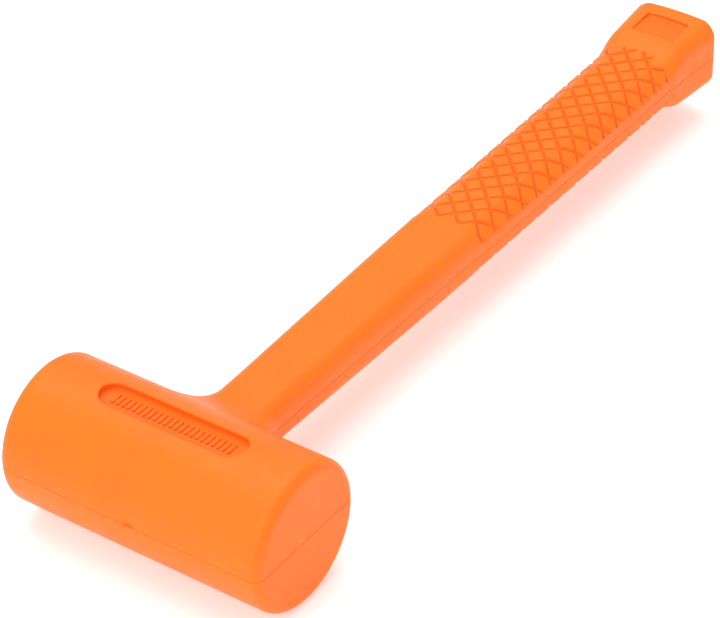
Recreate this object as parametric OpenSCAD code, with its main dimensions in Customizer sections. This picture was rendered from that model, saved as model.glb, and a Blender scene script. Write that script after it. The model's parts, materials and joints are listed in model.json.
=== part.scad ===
// Dead blow mallet: a one-piece moulded casing over a shot-filled steel canister
// and a steel core rod.  Frame: X along the head, Y along the handle towards the
// butt, Z up and square to the mould's parting plane.  The origin is the point
// where the head's axis meets the handle's axis.

/* [Head] */
// Diameter of the head
head_d = 50; // [49:0.5:53]
// Length of the head from one striking face to the other
head_l = 100; // [98:1:120]
// Rounding of the rim of each striking face
rim_r = 3.5; // [1:0.5:5]
// Fillet between head and handle, seen from above
neck_fillet_w = 14.5; // [8:0.5:15]
// Fillet between head and handle, seen from the side
neck_fillet_t = 10; // [6:0.5:12]

/* [Label recess in the head] */
// Overall length of the round-ended recess
label_l = 55; // [40:1:60]
// Width of the recess
label_w = 10.6; // [8:0.2:14]
// Depth of the recess below the crown of the head
label_depth = 2.4; // [1:0.1:3]
// Shift of the recess along the head
label_shift = 1; // [-2:0.5:2]
// Number of plain raised ribs on the floor of the recess
rib_count = 23; // [9:1:27]

/* [Handle] */
// Distance from the head's axis to the end of the butt
reach = 304.5; // [300:0.5:320]
// Distance from the head's axis to the first groove of the grip
grip_start = 151; // [140:1:160]
// Spacing of the diamonds along the handle
diamond_l = 8.75; // [8:0.25:10]
// Spacing of the diamonds across the handle
diamond_w = 8.4; // [8:0.2:10]
// Width of the grooves between the diamonds
groove_w = 1.1; // [0.8:0.1:1.6]
// Depth of the grooves
groove_depth = 0.9; // [0.5:0.1:1.2]

/* [Butt] */
// Half the width of the recessed panel
panel_half_w = 8.45; // [6:0.05:9]
// Length of the recessed panel
panel_l = 12.5; // [8:0.5:14]
// Distance from the panel to the end of the butt
panel_to_end = 7; // [5:0.5:10]
// Depth of the panel
panel_depth = 1; // [0.5:0.1:1.2]

/* [Canister] */
// Outer diameter of the canister tube
canister_d = 40; // [38:0.5:42]
// Wall of the canister tube
canister_wall = 2; // [1.5:0.1:2.2]
// Length of the canister tube
canister_l = 86; // [84:1:88]
// Depth of each cupped end cap
cap_depth = 6; // [4:0.5:7]
// Thickness of the end caps' metal
cap_t = 2; // [1.5:0.1:2.5]
// Diameter of the filling hole and of its plug's shank
fill_d = 8; // [6:0.5:10]

/* [Shot] */
// Diameter of each steel ball
ball_d = 7; // [6:0.1:7]
// Gap between neighbouring balls
ball_gap = 0.1; // [0.05:0.05:0.2]
// Number of layers of balls along the canister
ball_layers = 8; // [4:1:9]

/* [Core rod] */
// Diameter of the core rod
rod_d = 10; // [9:0.5:10]
// Distance from the head's axis to the rod's tail
rod_end = 291; // [285:1:293]
// Outer diameter of the socket welded to the canister
socket_d = 15; // [14:0.5:15]
// Distance from the head's axis to the socket's mouth
socket_end = 38; // [32:1:40]
// Diameter of the cross pin that holds the rod in its socket
pin_d = 3; // [2.5:0.5:3]
// Outer diameter of the collars on the rod
collar_d = 13; // [12:0.5:14]
// Width across the flats of the tail nut
nut_af = 16; // [15:0.5:17]

/* [Hidden] */

$fn = 64;
ball_fn = 24;
wide_fn = 96;
orange = [1.0, 0.5, 0.16];
spacer_orange = [0.93, 0.45, 0.14];
steel = [0.62, 0.64, 0.66];
dark_steel = [0.42, 0.43, 0.45];
head_r = head_d / 2;
canister_r = canister_d / 2;
bore_r = canister_r - canister_wall;

// Ribs in the label recess: width as a share of their pitch, length as a share of the recess's width
rib_share = 0.45;
rib_length_share = 0.42;
rib_height = 0.7;

// End of the grip, number of groove crossings along it, and a length that cuts right across it
grip_end = 276.5;
groove_rows = 15;
groove_l = 65;

// Cupped caps, filling plug, and the insert's small parts
skirt_t = 1.5;
plug_head_extra = 5;
plug_head_t = 1.6;
pin_y = 31;
collar_w = 5;
collar_places = [170, 205, 240];
tail_y = 278;
washer_d = 18;
washer_t = 2;
nut_h = 10;

// Spacers: width, the ring's wall, the lugs, and how far the head lugs stay below the skin
spacer_w = 6;
spacer_wall = 1.4;
head_lug_w = 5;
head_lug_cover = 1.2;
rod_lug_w = 3;
front_spacer_y = 82.5;
rear_spacer_y = 256;

// ---- Outer shape of the handle --------------------------------------------

// Stations along the handle, chosen by hand: distance, half width, half thickness
half_w = [[0, 11.6], [45, 11.7], [100, 12.7], [124, 13.2], [146, 13.5], [156, 14.1], [205, 14.55],
          [250, 14.85], [272, 14.9], [276, 15.5], [284, 15.6], [290, 16], [reach, 17]];
half_t = [[0, 8.55], [45, 8.6], [100, 9.1], [124, 9.25], [146, 9.3], [205, 9.45], [272, 9.7],
          [275, 9.85], [278, 11.1], [281, 12.4], [284, 12.75], [290, 13.15], [reach, 13.75]];
// Size of the blended corner across the width and through the thickness
corner_w = [[0, 5.5], [146, 5.5], [156, 6.6], [272, 6.6], [278, 5.8], [284, 6], [reach, 6.6]];
corner_t = [[0, 6.3], [146, 6.3], [156, 5], [272, 5], [278, 5.6], [284, 6], [reach, 6.6]];
// Corner curve: 2 is round, 1 would be a flat chamfer
corner_power = [[0, 2], [146, 2], [156, 1.25], [272, 1.25], [278, 2]];

// Height that a fillet of radius r has gained at a distance d before its end
function fillet(r, d) = r - sqrt(max(0, r * r - pow(min(max(d, 0), r), 2)));

// The side fillet runs from the handle's top plane to the head's round surface
fillet_t_end = sqrt(pow(head_r + neck_fillet_t, 2) - pow(half_t[0][1] + neck_fillet_t, 2));
fillet_t_max = half_t[0][1] + neck_fillet_t
             - neck_fillet_t * (half_t[0][1] + neck_fillet_t) / (head_r + neck_fillet_t);
function flare_w(y) = fillet(neck_fillet_w, head_r + neck_fillet_w - y);
function flare_t(y) = min(fillet(neck_fillet_t, fillet_t_end - y), fillet_t_max - half_t[0][1]);

// The section shrinks over the last few millimetres, which rounds the butt's end
end_l = 4;
end_share = 0.75;
function end_round(y) = end_share * fillet(end_l, y - (reach - end_l));

// Half section at a distance y: half width, half thickness, corner width, corner thickness, power.
// An inset lowers the top and bottom only, and then the sides stand a hair proud.
side_proud = 0.05;
flare_corner_w = 0.85;
flare_corner_t = 1.1;
function section(y, inset = 0) =
    [lookup(y, half_w) + flare_w(y) - end_round(y) + (inset > 0 ? side_proud : 0),
     lookup(y, half_t) + flare_t(y) - end_round(y) - inset,
     lookup(y, corner_w) + flare_corner_w * flare_w(y),
     lookup(y, corner_t) + flare_corner_t * flare_t(y),
     lookup(y, corner_power)];

// One quarter of the section's outline, from the top flat round to the side
corner_steps = 6;
function quarter(s) = [for (i = [0:corner_steps]) let (a = 90 * i / corner_steps)
    [s[0] - s[2] + s[2] * pow(sin(a), 2 / s[4]), s[1] - s[3] + s[3] * pow(cos(a), 2 / s[4])]];

function reversed(list) = [for (i = [len(list) - 1:-1:0]) list[i]];

// The whole outline at y, as points in space, turning from +Z towards +X
function ring(y, inset) = let (q = quarter(section(y, inset)), b = reversed(q))
    [for (p = q) [p[0], y, p[1]],
     for (p = b) [p[0], y, -p[1]],
     for (p = q) [-p[0], y, -p[1]],
     for (p = b) [-p[0], y, p[1]]];

// Distances at which the outline is taken: close together where the shape turns
grip_stations = [146, 151, 156, 205, 250, 272, 274, 275, 276, 278, 281];
stations = concat([15, 19, 21, 22.5, 24, 25, 26, 27, 28, 29.5, 31, 33, 35, 37.5, 40, 45, 100, 124],
                  grip_stations,
                  [284, 290, reach - end_l, reach - 2.6, reach - 1.4, reach - 0.5, reach]);

module lofted_handle(inset = 0, ys = stations) {
    rings = [for (y = ys) ring(y, inset)];
    n = len(rings[0]);
    last = len(ys) - 1;
    walls = [for (k = [0:last - 1], i = [0:n - 1]) let (j = (i + 1) % n)
        each [[k * n + i, (k + 1) * n + j, k * n + j], [k * n + i, (k + 1) * n + i, (k + 1) * n + j]]];
    ends = [[for (i = [0:n - 1]) i], [for (i = [n - 1:-1:0]) last * n + i]];
    polyhedron(points = [for (r = rings) each r], faces = concat(walls, ends), convexity = 4);
}

// ---- Casing ----------------------------------------------------------------

// Half outline of the barrel: radius against distance, with the rounded rim as an arc
function barrel_outline() = concat([[0, -head_l / 2]],
    [for (a = [0:15:90]) [head_r - rim_r + rim_r * sin(a), -head_l / 2 + rim_r - rim_r * cos(a)]],
    [for (a = [90:-15:0]) [head_r - rim_r + rim_r * sin(a), head_l / 2 - rim_r + rim_r * cos(a)]],
    [[0, head_l / 2]]);

module head_barrel() {
    rotate([0, 90, 0])
        rotate_extrude($fn = wide_fn)
            polygon(barrel_outline());
}

// A round-ended slot drawn in plan, length along X
module slot_outline(length, width) {
    square([length - width, width], center = true);
    for (side = [-1, 1])
        translate([side * (length - width) / 2, 0])
            circle(d = width);
}

// Recess in the crown of the head, with a floor that follows the barrel
module label_recess() {
    difference() {
        translate([label_shift, 0, head_r - label_depth - 2])
            linear_extrude(label_depth + 3)
                slot_outline(label_l, label_w);
        rotate([0, 90, 0])
            cylinder(r = head_r - label_depth, h = head_l, center = true);
        label_ribs();
    }
}

// Plain raised ribs that stand in a row on the recess floor
module label_ribs() {
    pitch = (label_l - label_w) / (rib_count - 1);
    for (i = [0:rib_count - 1])
        translate([label_shift + (i - (rib_count - 1) / 2) * pitch, 0, head_r - label_depth])
            cube([pitch * rib_share, label_w * rib_length_share, 2 * rib_height], center = true);
}

// Two families of crossing grooves, drawn through the mould's opening direction
module groove_lattice() {
    slope = atan2(diamond_l, diamond_w);
    first = grip_start + diamond_l / 2;
    for (turn = [-1, 1], k = [-1:groove_rows - 1])
        translate([0, first + k * diamond_l, 0])
            rotate([0, 0, turn * slope])
                cube([groove_l, groove_w, head_r], center = true);
}

// Only the skin of the grip is cut: the handle's inset core is kept
module grip_grooves() {
    difference() {
        intersection() {
            groove_lattice();
            translate([-20, grip_start, -20])
                cube([40, grip_end - grip_start, 40]);
        }
        lofted_handle(groove_depth, grip_stations);
    }
}

// Shallow oblong panel with a level floor, in the top of the butt
module butt_panel() {
    panel_start = reach - panel_to_end - panel_l;
    panel_floor = lookup(panel_start + panel_l / 2, half_t) - panel_depth;
    translate([-panel_half_w, panel_start, panel_floor])
        cube([2 * panel_half_w, panel_l, panel_depth + 2]);
}

module casing_outside() {
    head_barrel();
    lofted_handle();
}

// The moulding, with everything that it encloses left out of it
module casing() {
    color(orange)
        difference() {
            casing_outside();
            label_recess();
            grip_grooves();
            butt_panel();
            steel_insert_space();
        }
}

// ---- Canister --------------------------------------------------------------

module along_x() {
    rotate([0, 90, 0])
        children();
}

module along_y() {
    rotate([-90, 0, 0])
        children();
}

module canister_tube() {
    color(steel)
        difference() {
            along_x()
                cylinder(r = canister_r, h = canister_l, center = true);
            along_x()
                cylinder(r = bore_r, h = canister_l + 1, center = true);
        }
}

// Cupped cap pressed into the tube with its mouth outwards; side is -1 or 1
module end_cap(side) {
    mouth = canister_l / 2;
    turn = side > 0 ? 0 : 180;
    rotate([0, 0, turn])
        difference() {
            translate([mouth - cap_depth, 0, 0])
                along_x()
                    cylinder(r = bore_r, h = cap_depth);
            translate([mouth - cap_depth + cap_t, 0, 0])
                along_x()
                    cylinder(r = bore_r - skirt_t, h = cap_depth);
        }
}

module canister_cap_left() {
    color(dark_steel)
        end_cap(-1);
}

module canister_cap_right() {
    color(dark_steel)
        difference() {
            end_cap(1);
            along_x()
                cylinder(d = fill_d, h = head_l);
        }
}

// Plug that closes the filling hole after the shot is in
module fill_plug() {
    inner_face = canister_l / 2 - cap_depth;
    color(steel)
        union() {
            translate([inner_face, 0, 0])
                along_x()
                    cylinder(d = fill_d, h = cap_t);
            translate([inner_face + cap_t, 0, 0])
                along_x()
                    cylinder(d = fill_d + plug_head_extra, h = plug_head_t);
        }
}

// Loose balls drawn as stacked layers of one centre ball and two six-sided rings
module shot_layer() {
    pitch = ball_d + ball_gap;
    sphere(d = ball_d, $fn = ball_fn);
    for (turn = [0:60:300], step = [0:1])
        rotate([turn, 0, 0]) {
            translate([0, 0, (step + 1) * pitch])
                sphere(d = ball_d, $fn = ball_fn);
            if (step == 1)
                rotate([30, 0, 0])
                    translate([0, 0, pitch * sqrt(3)])
                        sphere(d = ball_d, $fn = ball_fn);
        }
}

module steel_shot() {
    pitch = ball_d + ball_gap;
    color(dark_steel)
        for (i = [0:ball_layers - 1])
            translate([(i - (ball_layers - 1) / 2) * pitch, 0, 0])
                shot_layer();
}

// ---- Core rod and what holds it --------------------------------------------

module canister_clearance() {
    along_x()
        cylinder(r = canister_r, h = head_l, center = true);
}

module rod_socket() {
    color(dark_steel)
        difference() {
            along_y()
                cylinder(d = socket_d, h = socket_end);
            along_y()
                cylinder(d = rod_d, h = socket_end + 1);
            canister_clearance();
            pin_space();
        }
}

// The pin crosses socket and rod, flush with the socket's wall
module pin_space() {
    translate([0, pin_y, 0])
        cylinder(d = pin_d, h = socket_d + 2, center = true);
}

module socket_pin() {
    pin_l = socket_d - 1;
    color(steel)
        translate([0, pin_y, 0])
            cylinder(d = pin_d, h = pin_l, center = true);
}

module core_rod() {
    color(steel)
        difference() {
            along_y()
                cylinder(d = rod_d, h = rod_end);
            canister_clearance();
            pin_space();
        }
}

module rod_ring(y, width, outer_d) {
    translate([0, y, 0])
        along_y()
            difference() {
                cylinder(d = outer_d, h = width);
                translate([0, 0, -1])
                    cylinder(d = rod_d, h = width + 2);
            }
}

// Collars crimped on the rod so that the plastic can't creep along it
module anchor_collars() {
    color(dark_steel)
        for (y = collar_places)
            rod_ring(y, collar_w, collar_d);
}

module tail_washer() {
    color(steel)
        rod_ring(tail_y, washer_t, washer_d);
}

module tail_nut() {
    color(dark_steel)
        translate([0, tail_y + washer_t, 0])
            along_y()
                difference() {
                    rotate([0, 0, 30])
                        cylinder(d = nut_af / cos(30), h = nut_h, $fn = 6);
                    translate([0, 0, -1])
                        cylinder(d = rod_d, h = nut_h + 2);
                }
}

// ---- Spacers that centre the steel insert in the mould ----------------------

module head_spacer(side) {
    lug_r = head_r - head_lug_cover;
    inner = canister_l / 2 - spacer_w;
    translate([side > 0 ? inner : -inner - spacer_w, 0, 0])
        along_x()
            linear_extrude(spacer_w)
                difference() {
                    union() {
                        circle(r = canister_r + spacer_wall, $fn = wide_fn);
                        for (turn = [30:60:330])
                            rotate(turn)
                                translate([lug_r / 2, 0])
                                    square([lug_r, head_lug_w], center = true);
                    }
                    circle(r = canister_r, $fn = wide_fn);
                }
}

module head_spacer_left() {
    color(spacer_orange)
        head_spacer(-1);
}

module head_spacer_right() {
    color(spacer_orange)
        head_spacer(1);
}

// A ring on the rod with four lugs that just miss the handle's surface
module rod_spacer(y, lug_w, lug_t) {
    translate([0, y, 0])
        along_y()
            linear_extrude(spacer_w)
                difference() {
                    union() {
                        circle(r = rod_d / 2 + spacer_wall);
                        square([2 * lug_w, rod_lug_w], center = true);
                        square([rod_lug_w, 2 * lug_t], center = true);
                    }
                    circle(d = rod_d);
                }
}

module rod_spacer_front() {
    color(spacer_orange)
        rod_spacer(front_spacer_y, 11.2, 7.8);
}

module rod_spacer_rear() {
    color(spacer_orange)
        rod_spacer(rear_spacer_y, 12.6, 8.2);
}

// Everything that lies inside the moulding, as one closed space
module steel_insert_space() {
    canister_clearance_short();
    rod_socket();
    core_rod();
    socket_pin();
    anchor_collars();
    tail_washer();
    tail_nut();
    head_spacer_left();
    head_spacer_right();
    rod_spacer_front();
    rod_spacer_rear();
}

// The canister, less the two cupped mouths that the moulding fills
module canister_clearance_short() {
    mouth = canister_l / 2;
    difference() {
        along_x()
            cylinder(r = canister_r, h = canister_l, center = true);
        for (turn = [0, 180])
            rotate([0, 0, turn])
                translate([mouth - cap_depth + cap_t, 0, 0])
                    along_x()
                        cylinder(r = bore_r - skirt_t, h = cap_depth);
    }
    fill_plug();
}

casing();
canister_tube();
canister_cap_left();
canister_cap_right();
fill_plug();
steel_shot();
rod_socket();
socket_pin();
core_rod();
anchor_collars();
tail_washer();
tail_nut();
head_spacer_left();
head_spacer_right();
rod_spacer_front();
rod_spacer_rear();
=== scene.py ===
"""Dead blow mallet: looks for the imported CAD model.

The moulded casing is written as a signed distance in millimetres and meshed here, so that its
fillets, recess, diamond grooves, mould seam and gate scar are real geometry.  The steel insert
keeps its CAD shapes and gets better materials.
"""

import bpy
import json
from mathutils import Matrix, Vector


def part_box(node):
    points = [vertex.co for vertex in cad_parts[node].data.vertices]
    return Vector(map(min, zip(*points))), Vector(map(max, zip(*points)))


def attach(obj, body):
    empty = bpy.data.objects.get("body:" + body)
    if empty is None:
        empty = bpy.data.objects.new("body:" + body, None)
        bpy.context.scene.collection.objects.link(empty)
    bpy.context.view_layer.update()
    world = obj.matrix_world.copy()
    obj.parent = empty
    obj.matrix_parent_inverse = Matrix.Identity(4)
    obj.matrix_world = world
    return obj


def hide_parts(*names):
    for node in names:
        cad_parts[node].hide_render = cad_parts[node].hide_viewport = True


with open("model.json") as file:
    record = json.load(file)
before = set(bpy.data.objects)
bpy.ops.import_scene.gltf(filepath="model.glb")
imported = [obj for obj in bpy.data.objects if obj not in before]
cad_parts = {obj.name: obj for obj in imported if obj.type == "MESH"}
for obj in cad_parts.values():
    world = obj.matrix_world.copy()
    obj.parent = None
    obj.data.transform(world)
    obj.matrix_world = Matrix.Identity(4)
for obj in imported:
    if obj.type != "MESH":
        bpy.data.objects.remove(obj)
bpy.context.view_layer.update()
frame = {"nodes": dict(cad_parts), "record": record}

import json
import math

import bmesh
import bpy
import numpy as np
from mathutils import Matrix, Vector

MM = 0.001

# ---------------------------------------------------------------- sizes, in millimetres
casing_low, casing_high = [np.array(corner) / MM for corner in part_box("casing")]
HEAD_R = -casing_low[2]
HEAD_HALF = casing_high[0]
REACH = casing_high[1]          # from the head's axis to the end of the butt
RIM_R = 3.5

# stations along the handle: distance from the head's axis, then the value there
HALF_W = [(0, 11.6), (45, 11.7), (100, 12.7), (124, 13.2), (146, 13.5), (156, 14.1), (205, 14.55),
          (250, 14.85), (272, 14.9), (276, 15.5), (284, 15.6), (290, 16.0), (REACH, 17.0)]
HALF_T = [(0, 8.55), (45, 8.6), (100, 9.1), (124, 9.25), (146, 9.3), (205, 9.45), (272, 9.7),
          (275, 9.85), (278, 11.1), (281, 12.4), (284, 12.75), (290, 13.15), (REACH, 13.75)]
CORNER_W = [(0, 5.5), (146, 5.5), (156, 6.6), (272, 6.6), (278, 5.8), (284, 6.0), (REACH, 6.6)]
CORNER_T = [(0, 6.3), (146, 6.3), (156, 5.0), (272, 5.0), (278, 5.6), (284, 6.0), (REACH, 6.6)]
CORNER_POWER = [(0, 2.0), (146, 2.0), (156, 1.25), (272, 1.25), (278, 2.0)]
STATION_BLEND = 1.2             # how far the stations are smoothed into each other
STATION_STEP, STATION_MARGIN = 0.25, 60.0
NECK_R = 14.5                   # fillet between head and handle at the sides
NECK_R_TOP = 10.0               # the same above and below
NECK_TURN = (0.15, 0.85)        # where the one radius turns into the other: 0 is the top, 1 is the side
HANDLE_ROOT_R = 0.5             # rounding of the handle's root, which is inside the head
END_R = 2.0                     # rounding of the butt's end
END_CROWN = 0.005               # how much the end face falls away, per millimetre squared

LABEL_L, LABEL_W, LABEL_DEPTH, LABEL_SHIFT = 55.0, 10.6, 2.4, 1.0
LABEL_FLOOR_R, LABEL_EDGE_R = 0.5, 0.45
RIB_COUNT, RIB_SHARE, RIB_LENGTH_SHARE, RIB_HEIGHT = 23, 0.45, 0.42, 0.5
RIB_ROOT, RIB_EDGE_R = 0.6, 0.24    # how far a rib reaches below the floor, and its rounding

DIAMOND_L, DIAMOND_W = 8.75, 8.4
PITCH = 1 / math.hypot(1 / DIAMOND_L, 1 / DIAMOND_W)    # from one groove to the next
GRIP_FIRST = 155.6              # first crossing of the grooves on the middle line
GRIP_START, GRIP_END = 151.0, 276.5
GRIP_END_CURVE = 0.022          # how much earlier the grooves end towards the sides, per millimetre squared
GROOVE_DEPTH, GROOVE_FLOOR_W, GROOVE_DRAFT = 0.9, 0.35, 0.5
GROOVE_FLOOR_R, GROOVE_END_R, GROOVE_EDGE_R = 0.15, 0.3, 0.4
PLAIN_BAND = 4.3                # half the height of the plain band along each side of the grip

PANEL_HALF_W, PANEL_L, PANEL_TO_END, PANEL_DEPTH = 8.45, 12.5, 7.0, 1.0
PANEL_CURVE = 0.008             # how much its far edge bows, per millimetre squared
PANEL_CORNER_R, PANEL_FLOOR_R, PANEL_EDGE_R = 0.5, 0.3, 0.3

SEAM_DEPTH, SEAM_HALF_W = 0.16, 0.22
RING_AT, RING_R, RING_DEPTH, RING_HALF_W = 85.4, 5.5, 0.17, 0.3
GATE_X, GATE_HALF_L, GATE_HALF_T = 1.0, 4.4, 1.5
# the scar's bowl, rim and pit: height, then places in shares of the half length and half thickness
BOWL_DEPTH, BOWL_FLAT, BOWL_EDGE = 0.42, 0.7, 1.15
RIM_HEIGHT, RIM_AT, RIM_SPREAD = 0.42, 0.6, 0.2
PIT_DEPTH, PIT_SPREAD = 0.35, 0.3
RECESS_SHADE_FULL = 0.8                 # depth below the plain skin at which the painted recess shade is at full strength


# ---------------------------------------------------------------- distance helpers
def smooth_stations(table):
    """A smooth function of the distance along the handle through a table of stations."""
    ys = np.arange(-STATION_MARGIN, REACH + STATION_MARGIN, STATION_STEP)
    values = np.interp(ys, *zip(*table))
    reach = np.arange(-4 * STATION_BLEND, 4 * STATION_BLEND + STATION_STEP / 2, STATION_STEP)
    weights = np.exp(-0.5 * (reach / STATION_BLEND) ** 2)
    padded = np.pad(values, len(reach) // 2, mode="edge")
    values = np.convolve(padded, weights / weights.sum(), "valid")
    return lambda y: np.interp(y, ys, values)


half_w, half_t = smooth_stations(HALF_W), smooth_stations(HALF_T)
corner_w, corner_t = smooth_stations(CORNER_W), smooth_stations(CORNER_T)
corner_power = smooth_stations(CORNER_POWER)


def step(low, high, v):
    """0 below low and 1 above high, with a smooth rise between them."""
    t = np.clip((v - low) / (high - low), 0.0, 1.0)
    return t * t * (3 - 2 * t)


def cut_to(a, b, r):
    """The overlap of two solids, with the edge between them rounded to r."""
    u, v = np.maximum(a + r, 0), np.maximum(b + r, 0)
    return np.sqrt(u * u + v * v) - r + np.minimum(np.maximum(a, b) + r, 0)


def join(a, b, r):
    """Two solids together, with the hollow between them filled to a radius r."""
    u, v = np.maximum(r - a, 0), np.maximum(r - b, 0)
    return np.maximum(r, np.minimum(a, b)) - np.sqrt(u * u + v * v)


# ---------------------------------------------------------------- the casing as a distance
def barrel(x, y, z):
    """Distance to the head, and how far a point is from the head's axis."""
    rho = np.sqrt(y * y + z * z)
    return cut_to(rho - HEAD_R, np.abs(x) - HEAD_HALF, RIM_R), rho


def handle(x, y, z):
    """Distance to the handle, and to its sides alone."""
    ax, az = np.abs(x), np.abs(z)
    a, b, cw, ct, power = half_w(y), half_t(y), corner_w(y), corner_t(y), corner_power(y)
    u, w = (ax - (a - cw)) / cw, (az - (b - ct)) / ct
    uc, wc = np.maximum(u, 1e-6), np.maximum(w, 1e-6)
    g = (uc ** power + wc ** power) ** (1 / power)
    slope = g ** (1 - power) * np.hypot(uc ** (power - 1) / cw, wc ** (power - 1) / ct)
    corner = (g - 1) / slope
    side = np.where(u <= 0, az - b, np.where(w <= 0, ax - a, corner))
    side = np.where((u <= 0) & (w <= 0), np.maximum(az - b, ax - a), side)
    end = y - (REACH - END_CROWN * x * x)
    return cut_to(cut_to(side, end, END_R), -y, HANDLE_ROOT_R), side


def to_diamonds(x, y):
    """A place in plan, counted in diamonds along the grip and across it."""
    return (y - GRIP_FIRST) / DIAMOND_L, x / DIAMOND_W


def groove_offset(x, y):
    """Distance in plan to the nearest groove's middle line."""
    along, across = to_diamonds(x, y)
    p, q = along + across, along - across
    return PITCH * np.minimum(np.abs(p - np.round(p)), np.abs(q - np.round(q)))


def grooves(x, y, z, side):
    """The space that the diamond grooves take: their plan is a lattice, their depth follows the skin."""
    above = side + GROOVE_DEPTH
    half_width = GROOVE_FLOOR_W / 2 + GROOVE_DRAFT * above
    walls = (groove_offset(x, y) - half_width) / math.hypot(1, GROOVE_DRAFT)
    last = y - (GRIP_END - GRIP_END_CURVE * x * x)
    ends = np.maximum(np.maximum(GRIP_START - y, last), PLAIN_BAND - np.abs(z))
    return cut_to(cut_to(walls, -above, GROOVE_FLOOR_R), ends, GROOVE_END_R)


def label_recess(x, y, z, rho):
    """The space of the round-ended recess in the head's crown."""
    past_middle = np.abs(x - LABEL_SHIFT) - (LABEL_L - LABEL_W) / 2
    outline = np.hypot(np.maximum(past_middle, 0), y) - LABEL_W / 2
    return cut_to(np.maximum(outline, -z), HEAD_R - LABEL_DEPTH - rho, LABEL_FLOOR_R)


def butt_panel(x, y, z):
    """The space of the oblong panel on the butt: its floor is level."""
    middle = REACH - PANEL_TO_END - PANEL_L / 2
    far = y - (middle + PANEL_L / 2 - PANEL_CURVE * x * x)
    near = middle - PANEL_L / 2 - y
    outline = cut_to(np.abs(x) - PANEL_HALF_W, np.maximum(far, near), PANEL_CORNER_R)
    return cut_to(outline, half_t(middle) - PANEL_DEPTH - z, PANEL_FLOOR_R)


def gate_scar(x, y, z):
    """Height of the scar that the runner leaves on the front seam: a sunken lens with a torn rim."""
    r = np.hypot((x - GATE_X) / GATE_HALF_L, z / GATE_HALF_T)
    bowl = -BOWL_DEPTH * (1 - step(BOWL_FLAT, BOWL_EDGE, r))
    rim = RIM_HEIGHT * np.exp(-((r - RIM_AT) / RIM_SPREAD) ** 2)
    pit = -PIT_DEPTH * np.exp(-(r / PIT_SPREAD) ** 2)
    return np.where(y < 0, bowl + rim + pit, 0.0)


def plain_distance(x, y, z):
    """The casing without anything cut into it, and what the cuts are measured from."""
    head, rho = barrel(x, y, z)
    shaft, side = handle(x, y, z)
    sideways = step(*NECK_TURN, np.abs(x) / (np.abs(x) + np.abs(z) + 1e-6))
    return join(head, shaft, NECK_R_TOP + (NECK_R - NECK_R_TOP) * sideways), rho, side


def casing_distance(x, y, z):
    """The whole outer skin: the plain form with its grooves, recess, panel, ring mark, seam and scar."""
    d, rho, side = plain_distance(x, y, z)
    d = cut_to(d, -grooves(x, y, z, side), GROOVE_EDGE_R)
    d = cut_to(d, -label_recess(x, y, z, rho), LABEL_EDGE_R)
    d = cut_to(d, -butt_panel(x, y, z), PANEL_EDGE_R)
    ring = np.abs(np.hypot(x, y - RING_AT) - RING_R)
    d = d + RING_DEPTH * np.exp(-(ring / RING_HALF_W) ** 2) * (z > 0)
    d = d + SEAM_DEPTH * np.exp(-(z / SEAM_HALF_W) ** 2)
    return d - gate_scar(x, y, z)


# ---------------------------------------------------------------- meshing by dual contouring
def graded(low, high, spacing, fine):
    """Grid lines from low to high: spacing apart, and closer inside each (from, to, step) of fine."""
    lines = [low]
    while lines[-1] < high:
        at = lines[-1]
        pace = min([s for f, t, s in fine if f <= at < t] + [spacing])
        ahead = [f for f, t, s in fine if at < f < at + pace]
        lines.append(min(ahead) if ahead and min(ahead) > at + 0.05 else at + pace)
    return np.array(lines)


SPACING = 1.05                  # between plain grid lines in plan
GROOVE_LINES = [-1.9, -1.05, -0.6, -0.2, 0.2, 0.6, 1.05, 1.9]   # about each groove's middle
GRID_MARGIN, GRIP_HALF_W, BUTT_HALF_W = 4.0, 14.5, 18.0         # what the grid takes in
RING_MARGIN, RING_SPACING = 3.2, 0.42
HALF_PITCH, PLAIN_GAP = 0.5, 0.42       # in pitches: from the outer grooves to where the plain lines are
SEAM_LINES = [0.14, 0.3, 0.55]
LEVEL_START, LEVEL_SPACING, LEVEL_MARGIN = 1.1, 0.95, 2.5
LEVEL_ZONES = [(4.0, 9.8, 0.6), (12.0, 13.8, 0.55), (21.6, 25.6, 0.6)]  # grip, panel, recess


def diagonal_lines():
    """Lines across the grooves, in groove pitches: they fall on the grooves' own edges in the grip."""
    def pitches(x, y):
        return sum(to_diamonds(x, y))
    low = pitches(-(HEAD_HALF + GRID_MARGIN), casing_low[1] - GRID_MARGIN)
    high = pitches(BUTT_HALF_W, REACH + GRID_MARGIN)
    start = math.floor(pitches(-GRIP_HALF_W, GRIP_START))
    stop = math.ceil(pitches(GRIP_HALF_W, GRIP_END))
    ring = RING_R + RING_MARGIN
    fine = [(pitches(0, RING_AT - ring), pitches(0, RING_AT + ring), RING_SPACING / PITCH)]
    plain = graded(low, start - HALF_PITCH, SPACING / PITCH, fine)
    plain = plain[plain < start - PLAIN_GAP]
    grip = [k + offset / PITCH for k in range(start, stop + 1) for offset in GROOVE_LINES]
    after = graded(stop + HALF_PITCH, high, SPACING / PITCH, [])
    return np.concatenate([plain, grip, after])


def level_lines():
    """Lines through the thickness: close together at the seam and where the grooves are."""
    upper = graded(LEVEL_START, HEAD_R + LEVEL_MARGIN, LEVEL_SPACING, LEVEL_ZONES)
    half = np.concatenate([SEAM_LINES, upper])
    return np.concatenate([-half[::-1], [0.0], half])


class Grid:
    """A box of cells whose first two directions run along the grooves' two families."""

    def __init__(self):
        self.lines = [diagonal_lines(), diagonal_lines(), level_lines()]
        self.shape = tuple(len(line) for line in self.lines)

    def to_space(self, p, q, z):
        return (p - q) * DIAMOND_W / 2, GRIP_FIRST + (p + q) * DIAMOND_L / 2, z

    def to_grid(self, x, y, z):
        along, across = to_diamonds(x, y)
        return along + across, along - across, z

    def distance(self, i, j, k):
        return casing_distance(*self.to_space(self.lines[0][i], self.lines[1][j], self.lines[2][k]))


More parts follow.
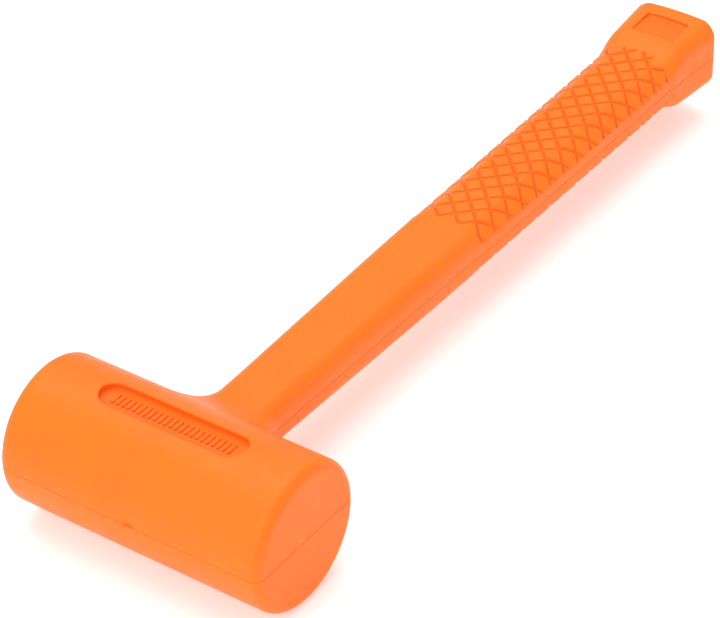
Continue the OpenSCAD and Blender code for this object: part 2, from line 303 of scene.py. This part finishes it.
BLOCK = 6                       # grid points along a coarse block
BLOCK_REACH = 1.9               # how near the surface a block counts, in its own widths
CHUNK = 400_000                 # points worked out at a time
CROSSING_STEPS = 4              # how often a crossing is narrowed down
VERTEX_HOLD = 0.04              # how strongly a vertex is held to the middle of its crossings
# the four cells round a crossed edge, in order, for an edge along each axis
CELLS_ROUND = np.array([[[0, 0, 0], [0, -1, 0], [0, -1, -1], [0, 0, -1]],
                        [[0, 0, 0], [0, 0, -1], [-1, 0, -1], [-1, 0, 0]],
                        [[0, 0, 0], [-1, 0, 0], [-1, -1, 0], [0, -1, 0]]])


def near_values(grid):
    """The distance at every grid point near the surface, and a coarse one everywhere else."""
    picks = [np.unique(np.append(np.arange(0, n, BLOCK), n - 1)) for n in grid.shape]
    i, j, k = np.meshgrid(*picks, indexing="ij")
    coarse = grid.distance(i, j, k)
    cells = [np.minimum(np.arange(n) // BLOCK, len(pick) - 1) for n, pick in zip(grid.shape, picks)]
    near = np.abs(coarse) < BLOCK * SPACING * BLOCK_REACH
    grown = near.copy()
    for axis in range(3):
        for shift in (-1, 1):
            grown |= np.roll(near, shift, axis)
    values = coarse[np.ix_(*cells)].astype(np.float32)
    index = np.argwhere(grown[np.ix_(*cells)])
    for part in range(0, len(index), CHUNK):
        a, b, c = index[part:part + CHUNK].T
        values[a, b, c] = grid.distance(a, b, c)
    return values


def crossings(grid, values):
    """Every grid edge that the surface crosses: its axis and start, the point, the normal, the inner end."""
    inside = values < 0
    found = []
    for axis in range(3):
        head = [slice(None)] * 3
        tail = [slice(None)] * 3
        head[axis], tail[axis] = slice(0, -1), slice(1, None)
        start = np.argwhere(inside[tuple(head)] != inside[tuple(tail)])
        found.append((np.full(len(start), axis), start))
    axes = np.concatenate([f[0] for f in found])
    start = np.concatenate([f[1] for f in found])
    stop = start.copy()
    stop[np.arange(len(stop)), axes] += 1

    def place(at):
        return np.stack(grid.to_space(*[grid.lines[n][at[:, n]] for n in range(3)]), 1)
    low, high = place(start), place(stop)
    f_low, f_high = casing_distance(*low.T), casing_distance(*high.T)
    inner = f_low < 0
    for _ in range(CROSSING_STEPS):
        middle = low + (high - low) * (f_low / (f_low - f_high))[:, None]
        f_middle = casing_distance(*middle.T)
        same = (f_middle < 0) == (f_low < 0)
        low = np.where(same[:, None], middle, low)
        high = np.where(same[:, None], high, middle)
        f_low = np.where(same, f_middle, f_low)
        f_high = np.where(same, f_high, f_middle)
    point = low + (high - low) * (f_low / (f_low - f_high + 1e-12))[:, None]
    return axes, start, point, gradient(point), inner


def gradient(points, h=0.02):
    """The skin's outward direction at each point."""
    slopes = []
    for axis in range(3):
        shift = np.zeros(3)
        shift[axis] = h
        slopes.append(casing_distance(*(points + shift).T) - casing_distance(*(points - shift).T))
    n = np.stack(slopes, 1)
    return n / np.maximum(np.linalg.norm(n, axis=1, keepdims=True), 1e-9)


def contour(grid):
    """Vertices, quads and vertex normals of the casing: one vertex in each crossed cell."""
    values = near_values(grid)
    axes, start, point, normal, inner = crossings(grid, values)
    cells = start[:, None, :] + CELLS_ROUND[axes]
    ids = np.ravel_multi_index(cells.reshape(-1, 3).T, grid.shape)
    unique, quads = np.unique(ids, return_inverse=True)
    quads = quads.reshape(-1, 4)
    quads[~inner] = quads[~inner][:, ::-1]
    flat = quads.ravel()
    count = np.bincount(flat, minlength=len(unique)).astype(float)

    def gather(column):
        return np.bincount(flat, weights=np.repeat(column, 4), minlength=len(unique))
    mass = np.stack([gather(point[:, n]) for n in range(3)], 1) / count[:, None]
    square = np.zeros((len(unique), 3, 3))
    right = np.zeros((len(unique), 3))
    four = np.repeat(normal, 4, axis=0)
    offset = np.repeat((normal * point).sum(1), 4) - (four * mass[flat]).sum(1)
    for r in range(3):
        right[:, r] = np.bincount(flat, weights=four[:, r] * offset, minlength=len(unique))
        for c in range(3):
            square[:, r, c] = gather(normal[:, r] * normal[:, c])
    square += VERTEX_HOLD * count[:, None, None] * np.eye(3)
    vertex = mass + np.linalg.solve(square, right[..., None])[..., 0]
    at = np.stack(np.unravel_index(unique, grid.shape), 1)
    place = np.stack(grid.to_grid(*vertex.T), 1)
    for n in range(3):
        place[:, n] = np.clip(place[:, n], grid.lines[n][at[:, n]], grid.lines[n][at[:, n] + 1])
    vertex = np.clip(np.stack(grid.to_space(*place.T), 1), casing_low, casing_high)
    return vertex, quads, gradient(vertex)


def mesh_object(name, vertices, quads, normals):
    """A smooth object in metres from points in millimetres."""
    mesh = bpy.data.meshes.new(name)
    mesh.from_pydata((vertices * MM).tolist(), [], quads.tolist())
    mesh.update()
    mesh.shade_smooth()
    mesh.normals_split_custom_set_from_vertices(normals.tolist())
    made = bpy.data.objects.new(name, mesh)
    bpy.context.scene.collection.objects.link(made)
    return made


# ---------------------------------------------------------------- camera
CAMERA_AZIMUTH, CAMERA_ELEVATION, CAMERA_ROLL = 35.906, 36.691, -1.527
CAMERA_DISTANCE = 951.8
AIM_RIGHT, AIM_UP = 56.755, 52.546      # from the head's centre to the middle of the view
LENS, SENSOR = 155.0, 36.0
CLIP_NEAR, CLIP_FAR = 0.05, 20.0        # in metres


def add_camera():
    a, e, r = [math.radians(v) for v in (CAMERA_AZIMUTH, CAMERA_ELEVATION, CAMERA_ROLL)]
    back = Vector((math.sin(a) * math.cos(e), -math.cos(a) * math.cos(e), math.sin(e)))
    level = Vector((math.cos(a), math.sin(a), 0))
    upright = back.cross(level)
    right = math.cos(r) * level + math.sin(r) * upright
    up = -math.sin(r) * level + math.cos(r) * upright
    data = bpy.data.cameras.new("camera")
    data.lens, data.sensor_width = LENS, SENSOR
    data.clip_start, data.clip_end = CLIP_NEAR, CLIP_FAR
    camera = bpy.data.objects.new("camera", data)
    turn = Matrix((right, up, back)).transposed().to_4x4()
    place = (right * AIM_RIGHT + up * AIM_UP + back * CAMERA_DISTANCE) * MM
    camera.matrix_world = Matrix.Translation(place) @ turn
    bpy.context.scene.collection.objects.link(camera)
    bpy.context.scene.camera = camera


add_camera()


# ---------------------------------------------------------------- materials
class Nodes:
    """A short way to write a material's node tree."""

    def __init__(self, name):
        self.material = bpy.data.materials.new(name)
        self.material.use_nodes = True
        self.tree = self.material.node_tree
        self.shader = self.tree.nodes["Principled BSDF"]
        self.place = self.add("ShaderNodeTexCoord").outputs["Object"]

    def add(self, kind, **values):
        node = self.tree.nodes.new(kind)
        for key, value in values.items():
            if hasattr(node, key):
                setattr(node, key, value)
            else:
                node.inputs[key.replace("_", " ")].default_value = value
        return node

    def link(self, source, target):
        self.tree.links.new(source, target)

    def noise(self, scale, detail=3.0, roughness=0.55, stretch=None):
        place = self.place
        if stretch:
            mapping = self.add("ShaderNodeMapping")
            mapping.inputs["Scale"].default_value = stretch
            self.link(self.place, mapping.inputs["Vector"])
            place = mapping.outputs["Vector"]
        noise = self.add("ShaderNodeTexNoise", Scale=scale, Detail=detail, Roughness=roughness)
        self.link(place, noise.inputs["Vector"])
        return noise.outputs["Fac"]

    def ramp(self, source, *stops):
        ramp = self.add("ShaderNodeValToRGB").color_ramp
        ramp.elements[0].position, ramp.elements[0].color = stops[0]
        ramp.elements[1].position, ramp.elements[1].color = stops[-1]
        for position, color in stops[1:-1]:
            ramp.elements.new(position).color = color
        node = self.tree.nodes[-1]
        self.link(source, node.inputs["Fac"])
        return node.outputs["Color"]

    def range(self, source, from_low, from_high, low, high):
        node = self.add("ShaderNodeMapRange", From_Min=from_low, From_Max=from_high, To_Min=low, To_Max=high)
        self.link(source, node.inputs["Value"])
        return node.outputs["Result"]

    def mix(self, factor, first, second, blend="MIX"):
        node = self.add("ShaderNodeMix", data_type="RGBA", blend_type=blend)
        for value, name in ((factor, "Factor"), (first, "A"), (second, "B")):
            target = [s for s in node.inputs if s.name == name and s.enabled][0]
            if hasattr(value, "links"):
                self.link(value, target)
            else:
                target.default_value = value
        return [s for s in node.outputs if s.enabled][0]

    def bump(self, height, strength, distance, below=None):
        node = self.add("ShaderNodeBump", Strength=strength, Distance=distance)
        self.link(height, node.inputs["Height"])
        if below:
            self.link(below, node.inputs["Normal"])
        return node.outputs["Normal"]

    def set(self, **values):
        for key, value in values.items():
            target = self.shader.inputs[key.replace("_", " ")]
            if hasattr(value, "links"):
                self.link(value, target)
            else:
                target.default_value = value
        return self.material


def scaled(color, *shares):
    """A colour with its red, green and blue each multiplied."""
    return (*[value * share for value, share in zip(color, shares)], 1)


def moulded_plastic(name, light, deep, scale_shift):
    """Satin moulded plastic: cloudy pigment, a faint flow streak, and the mould's fine grain.

    Where the mesh's depth value is high, at the floor of a recess or groove, the colour is darkened towards
    a deeper orange as painted shade."""
    m = Nodes(name)
    cloud = m.noise(38 + scale_shift, 4.0)
    streak = m.noise(60 + scale_shift, 2.0, stretch=(1.0, 0.25, 1.0))
    grain = m.noise(1500, 2.0, 0.6)
    swell = m.noise(110, 2.0, 0.5)
    color = m.ramp(cloud, (0.3, deep), (0.7, light))
    color = m.mix(m.range(streak, 0.4, 0.75, 0.0, 0.22), color, light)
    # painted shade: the floors of recesses and grooves are darkened by how deep they lie below the plain
    # skin
    recess_shade = m.add("ShaderNodeAttribute", attribute_name="recess_shade").outputs["Fac"]
    color = m.mix(m.range(recess_shade, 0.0, 1.0, 0.0, 0.5), color, scaled(deep, 1, 0.8, 0.6))
    rough = m.range(m.noise(240, 4.0), 0.3, 0.7, 0.38, 0.52)
    normal = m.bump(swell, 0.25, 0.0006)
    normal = m.bump(grain, 0.18, 0.00008, normal)
    return m.set(Base_Color=color, Roughness=rough, Normal=normal, Specular_IOR_Level=0.22)


def drawn_steel(name, light, dark, rough_low, rough_high, stretch):
    """Plain steel with drawing lines along one direction and a thin, patchy film of oil."""
    m = Nodes(name)
    lines = m.noise(900, 3.0, stretch=stretch)
    patches = m.noise(45, 4.0)
    color = m.ramp(lines, (0.35, dark), (0.68, light))
    color = m.mix(m.range(patches, 0.5, 0.8, 0.0, 0.35), color, scaled(dark, 0.8, 0.72, 0.62))
    rough = m.range(patches, 0.3, 0.75, rough_low, rough_high)
    return m.set(Base_Color=color, Roughness=rough, Metallic=1.0, Normal=m.bump(lines, 0.3, 0.00005))


LIGHT_ORANGE = (0.955, 0.19, 0.010, 1)
DEEP_ORANGE = (0.95, 0.172, 0.008, 1)
SPACER_LIGHT = (0.9, 0.24, 0.03, 1)
SPACER_DEEP = (0.8, 0.2, 0.02, 1)
# light, dark, smoothest, roughest, and how the drawing lines are stretched
CANISTER_STEEL = ((0.5, 0.5, 0.52, 1), (0.3, 0.3, 0.31, 1), 0.3, 0.5, (0.1, 1, 1))
ROD_STEEL = ((0.66, 0.67, 0.69, 1), (0.46, 0.47, 0.49, 1), 0.2, 0.38, (1, 0.08, 1))
SHOT_STEEL = ((0.36, 0.36, 0.38, 1), (0.2, 0.2, 0.21, 1), 0.35, 0.55, (1, 1, 1))

FINISHES = {"casing_plastic": moulded_plastic("casing_plastic", LIGHT_ORANGE, DEEP_ORANGE, 0),
            "spacer_plastic": moulded_plastic("spacer_plastic", SPACER_LIGHT, SPACER_DEEP, 9),
            "canister_steel": drawn_steel("canister_steel", *CANISTER_STEEL),
            "rod_steel": drawn_steel("rod_steel", *ROD_STEEL),
            "shot_steel": drawn_steel("shot_steel", *SHOT_STEEL)}


def finish_cad_nodes():
    """Give each piece from the CAD its slot's material."""
    for row in frame["record"]["subparts"]:
        node = frame["nodes"][row["node"]]
        node.data.materials.clear()
        node.data.materials.append(FINISHES[row["material_slot"]])


# ---------------------------------------------------------------- the casing
def add_casing():
    """The one-piece moulding in place of the CAD's, with how deep each vertex lies below the plain skin,
    which sets its painted recess shade.
    """
    vertices, quads, normals = contour(Grid())
    casing = mesh_object("moulded_casing", vertices, quads, normals)
    # depth below the plain skin, which the material turns into painted shade
    recess_shade = np.clip(-plain_distance(*vertices.T)[0] / RECESS_SHADE_FULL, 0, 1)
    casing.data.attributes.new("recess_shade", "FLOAT", "POINT").data.foreach_set("value", recess_shade)
    casing.data.materials.append(FINISHES["casing_plastic"])
    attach(casing, "mallet")
    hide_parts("casing")


def add_label_ribs():
    """Plain raised ribs in a row on the floor of the head's recess, one short mesh of the same plastic."""
    pitch = (LABEL_L - LABEL_W) / (RIB_COUNT - 1)
    ground = HEAD_R - LABEL_DEPTH
    low, high = ground - RIB_ROOT, ground + RIB_HEIGHT
    form = bmesh.new()
    for k in range(RIB_COUNT):
        x = LABEL_SHIFT + (k - (RIB_COUNT - 1) / 2) * pitch
        place = Matrix.Translation((x, 0, (low + high) / 2))
        size = Matrix.Diagonal((pitch * RIB_SHARE, LABEL_W * RIB_LENGTH_SHARE, high - low, 1))
        bmesh.ops.create_cube(form, size=1, matrix=place @ size)
    upper = [edge for edge in form.edges if max(v.co.z for v in edge.verts) > ground]
    bmesh.ops.bevel(form, geom=upper, offset=RIB_EDGE_R, segments=4, profile=0.5, affect="EDGES")
    bmesh.ops.scale(form, vec=(MM, MM, MM), verts=form.verts)
    mesh = bpy.data.meshes.new("label_ribs")
    form.to_mesh(mesh)
    form.free()
    mesh.shade_smooth()
    # the ribs stand on the recess floor and take its full painted shade
    mesh.attributes.new("recess_shade", "FLOAT", "POINT").data.foreach_set("value", [1.0] * len(mesh.vertices))
    mesh.materials.append(FINISHES["casing_plastic"])
    ribs = bpy.data.objects.new("label_ribs", mesh)
    bpy.context.scene.collection.objects.link(ribs)
    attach(ribs, "mallet")


finish_cad_nodes()
add_casing()
add_label_ribs()


# ---------------------------------------------------------------- floor and light
FLOOR_GLOW = 0.32               # a little light of its own keeps the floor white
FLOOR_HALF = 4.0                # in metres
LAMP_TARGET = Vector((0, 0.12, 0))
WORLD_STRENGTH = 0.62
# name, place in metres, size in metres, power in watts
SOFTBOXES = [("top_light", (-0.3, 0.3, 1.4), 1.4, 14),
             ("front_fill", (-0.1, -1.2, 0.9), 1.0, 7.5),
             ("right_fill", (1.2, -0.2, 0.7), 1.0, 0.5)]


def add_floor():
    m = Nodes("studio_floor")
    m.set(Base_Color=(0.9, 0.9, 0.9, 1), Roughness=0.8, Specular_IOR_Level=0.2,
          Emission_Color=(1, 1, 1, 1), Emission_Strength=FLOOR_GLOW)
    mesh = bpy.data.meshes.new("floor")
    half, down = FLOOR_HALF, casing_low[2] * MM
    mesh.from_pydata([(-half, -half, down), (half, -half, down), (half, half, down), (-half, half, down)],
                     [], [(0, 1, 2, 3)])
    floor = bpy.data.objects.new("floor", mesh)
    mesh.materials.append(m.material)
    bpy.context.scene.collection.objects.link(floor)


def add_softbox(name, place, size, power):
    data = bpy.data.lights.new(name, "AREA")
    data.shape, data.size, data.energy = "SQUARE", size, power
    lamp = bpy.data.objects.new(name, data)
    lamp.location = place
    lamp.rotation_euler = (LAMP_TARGET - lamp.location).to_track_quat("-Z", "Y").to_euler()
    bpy.context.scene.collection.objects.link(lamp)


def add_world(strength):
    world = bpy.data.worlds.new("studio")
    world.use_nodes = True
    background = world.node_tree.nodes["Background"]
    background.inputs["Color"].default_value = (1, 1, 1, 1)
    background.inputs["Strength"].default_value = strength
    bpy.context.scene.world = world


bpy.context.scene.view_settings.view_transform = "Standard"
add_floor()
for softbox in SOFTBOXES:
    add_softbox(*softbox)
add_world(WORLD_STRENGTH)
